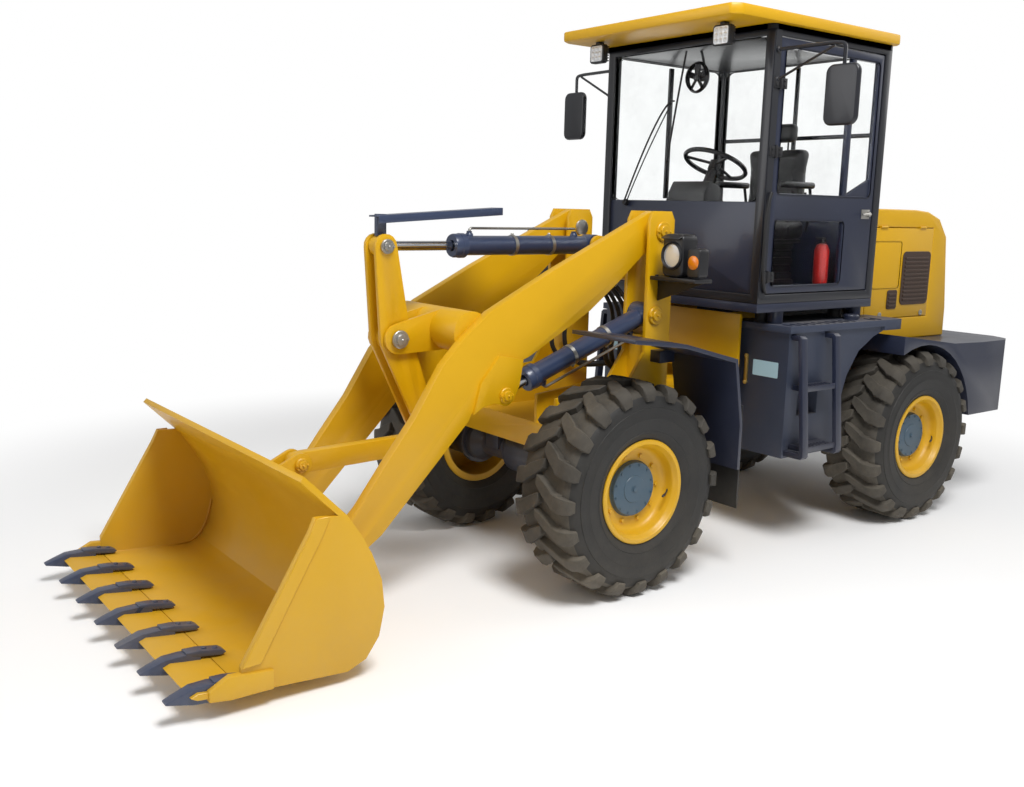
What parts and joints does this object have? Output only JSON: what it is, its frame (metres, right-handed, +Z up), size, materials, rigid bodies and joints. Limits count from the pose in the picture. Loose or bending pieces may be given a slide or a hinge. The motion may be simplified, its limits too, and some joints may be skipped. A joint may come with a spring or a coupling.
{
  "type": "wheel loader",
  "caption": "Compact articulated wheel loader with a cab, a Z-bar boom and a toothed bucket.",
  "frame": {"origin": "centre of the machine's outer box, on the ground under the tyres", "axes": "+Y towards the counterweight at the back, -Y towards the bucket, +X the machine's left, +Z up"},
  "size_m": [2.31, 5.905, 2.96],
  "materials": {
    "yellow_paint": "satin",
    "navy_paint": "satin",
    "blue_paint": "satin",
    "black_plastic": "matte",
    "cab_glass": "gloss",
    "bright_steel": "polished",
    "engine_grey": "matte",
    "tyre_rubber": "matte"
  },
  "bodies": {
    "rear_frame": {"rear_chassis": "yellow_paint", "rear_axle": "navy_paint", "engine_block": "engine_grey", "counterweight": "navy_paint", "engine_hood": "yellow_paint", "side_tank_left": "navy_paint", "side_tank_right": "navy_paint", "steps_left": "navy_paint", "steps_right": "navy_paint", "cab_floor": "navy_paint", "cab_frame": "navy_paint", "cab_front_panel": "navy_paint", "cab_rear_panel": "navy_paint", "cab_right_panel": "navy_paint", "windscreen": "cab_glass", "rear_window": "cab_glass", "right_window": "cab_glass", "cab_roof": "yellow_paint", "seat": "black_plastic", "steering_column": "black_plastic", "steering_wheel": "black_plastic", "mirror_left": "black_plastic", "mirror_right": "black_plastic", "work_lamp_left": "black_plastic", "work_lamp_right": "black_plastic"},
    "cab_door": {"cab_door": "navy_paint", "door_glass_upper": "cab_glass", "door_glass_lower": "cab_glass"},
    "front_frame": {"front_chassis": "yellow_paint", "front_axle": "navy_paint", "front_fender_left": "navy_paint", "front_fender_right": "navy_paint", "headlight_left": "black_plastic", "headlight_right": "black_plastic"},
    "boom": {"boom_arm_left": "yellow_paint", "boom_arm_right": "yellow_paint", "boom_cross_tube": "yellow_paint"},
    "bellcrank": {"bellcrank": "yellow_paint"},
    "bucket_link": {"bucket_link": "yellow_paint"},
    "bucket": {"bucket_shell": "yellow_paint", "cutting_edge": "blue_paint"},
    "tilt_barrel": {"tilt_cylinder_barrel": "blue_paint"},
    "tilt_rod": {"tilt_rod": "bright_steel", "rod_guard": "blue_paint"},
    "hood_door_left": {"hood_door_left": "yellow_paint"},
    "lift_barrel_left": {"lift_cylinder_left_barrel": "blue_paint"},
    "lift_rod_left": {"lift_rod_left": "bright_steel"},
    "hood_door_right": {"hood_door_right": "yellow_paint"},
    "lift_barrel_right": {"lift_cylinder_right_barrel": "blue_paint"},
    "lift_rod_right": {"lift_rod_right": "bright_steel"},
    "wheel_front_left": {"rim_front_left": "yellow_paint", "tyre_front_left": "tyre_rubber"},
    "wheel_front_right": {"rim_front_right": "yellow_paint", "tyre_front_right": "tyre_rubber"},
    "wheel_rear_left": {"rim_rear_left": "yellow_paint", "tyre_rear_left": "tyre_rubber"},
    "wheel_rear_right": {"rim_rear_right": "yellow_paint", "tyre_rear_right": "tyre_rubber"}
  },
  "joints": [
    {"name": "articulation", "type": "hinge", "parent": "rear_frame", "child": "front_frame", "pos_m": [0, 0.6425, 0.72], "axis": [0, 0, 1], "range_deg": [-35, 35]},
    {"name": "boom_lift", "type": "hinge", "parent": "front_frame", "child": "boom", "pos_m": [0, -0.0675, 1.8], "axis": [-1, 0, 0], "range_deg": [0, 80]},
    {"name": "bucket_tilt", "type": "hinge", "parent": "boom", "child": "bucket", "pos_m": [0, -1.9475, 0.34], "axis": [-1, 0, 0], "range_deg": [-105, 35]},
    {"name": "bellcrank_turn", "type": "hinge", "parent": "boom", "child": "bellcrank", "pos_m": [0, -1.4975, 1.26], "axis": [-1, 0, 0], "range_deg": [-16.5, 49]},
    {"name": "bucket_link_turn", "type": "hinge", "parent": "bellcrank", "child": "bucket_link", "pos_m": [0, -1.2675, 0.71], "axis": [-1, 0, 0], "range_deg": [-75, 25]},
    {"name": "lift_cylinder_left_swing", "type": "hinge", "parent": "front_frame", "child": "lift_barrel_left", "pos_m": [0.335, -0.0975, 1.35], "axis": [-1, 0, 0], "range_deg": [0, 77]},
    {"name": "lift_rod_left_stroke", "type": "slide", "parent": "lift_barrel_left", "child": "lift_rod_left", "axis": [0, -0.9363, -0.3511], "range_m": [0, 0.58]},
    {"name": "lift_cylinder_right_swing", "type": "hinge", "parent": "front_frame", "child": "lift_barrel_right", "pos_m": [-0.335, -0.0975, 1.35], "axis": [-1, 0, 0], "range_deg": [0, 77]},
    {"name": "lift_rod_right_stroke", "type": "slide", "parent": "lift_barrel_right", "child": "lift_rod_right", "axis": [0, -0.9363, -0.3511], "range_m": [0, 0.58]},
    {"name": "tilt_cylinder_swing", "type": "hinge", "parent": "front_frame", "child": "tilt_barrel", "pos_m": [0, -0.2075, 1.71], "axis": [-1, 0, 0], "range_deg": [0, 84]},
    {"name": "tilt_rod_stroke", "type": "slide", "parent": "tilt_barrel", "child": "tilt_rod", "axis": [0, -1, -0.0022], "range_m": [-0.35, 0.118]},
    {"name": "cab_door_swing", "type": "hinge", "parent": "rear_frame", "child": "cab_door", "pos_m": [0.662, 0.5225, 2.1], "axis": [0, 0, -1], "range_deg": [0, 65]},
    {"name": "hood_door_left_lift", "type": "hinge", "parent": "rear_frame", "child": "hood_door_left", "pos_m": [0.5, 1.6925, 1.836], "axis": [0, -1, 0], "range_deg": [0, 75]},
    {"name": "hood_door_right_lift", "type": "hinge", "parent": "rear_frame", "child": "hood_door_right", "pos_m": [-0.5, 1.6925, 1.836], "axis": [0, 1, 0], "range_deg": [0, 75]},
    {"name": "wheel_front_left_spin", "type": "hinge", "parent": "front_frame", "child": "wheel_front_left", "pos_m": [0.7, -0.5675, 0.54], "axis": [1, 0, 0], "continuous": true},
    {"name": "wheel_front_right_spin", "type": "hinge", "parent": "front_frame", "child": "wheel_front_right", "pos_m": [-0.7, -0.5675, 0.54], "axis": [1, 0, 0], "continuous": true},
    {"name": "wheel_rear_left_spin", "type": "hinge", "parent": "rear_frame", "child": "wheel_rear_left", "pos_m": [0.7, 1.8525, 0.54], "axis": [1, 0, 0], "continuous": true},
    {"name": "wheel_rear_right_spin", "type": "hinge", "parent": "rear_frame", "child": "wheel_rear_right", "pos_m": [-0.7, 1.8525, 0.54], "axis": [1, 0, 0], "continuous": true}
  ],
  "couplings": [
    {"joint": "bellcrank_turn", "follows": "bucket_tilt", "ratio": -0.46},
    {"joint": "bucket_link_turn", "follows": "bucket_tilt", "ratio": 0.71},
    {"joint": "tilt_cylinder_swing", "follows": "boom_lift", "ratio": 1.04},
    {"joint": "tilt_rod_stroke", "follows": "bucket_tilt", "m_per_rad": 0.19},
    {"joint": "lift_cylinder_left_swing", "follows": "boom_lift", "ratio": 0.96},
    {"joint": "lift_rod_left_stroke", "follows": "boom_lift", "m_per_rad": 0.415},
    {"joint": "lift_cylinder_right_swing", "follows": "boom_lift", "ratio": 0.96},
    {"joint": "lift_rod_right_stroke", "follows": "boom_lift", "m_per_rad": 0.415}
  ]
}
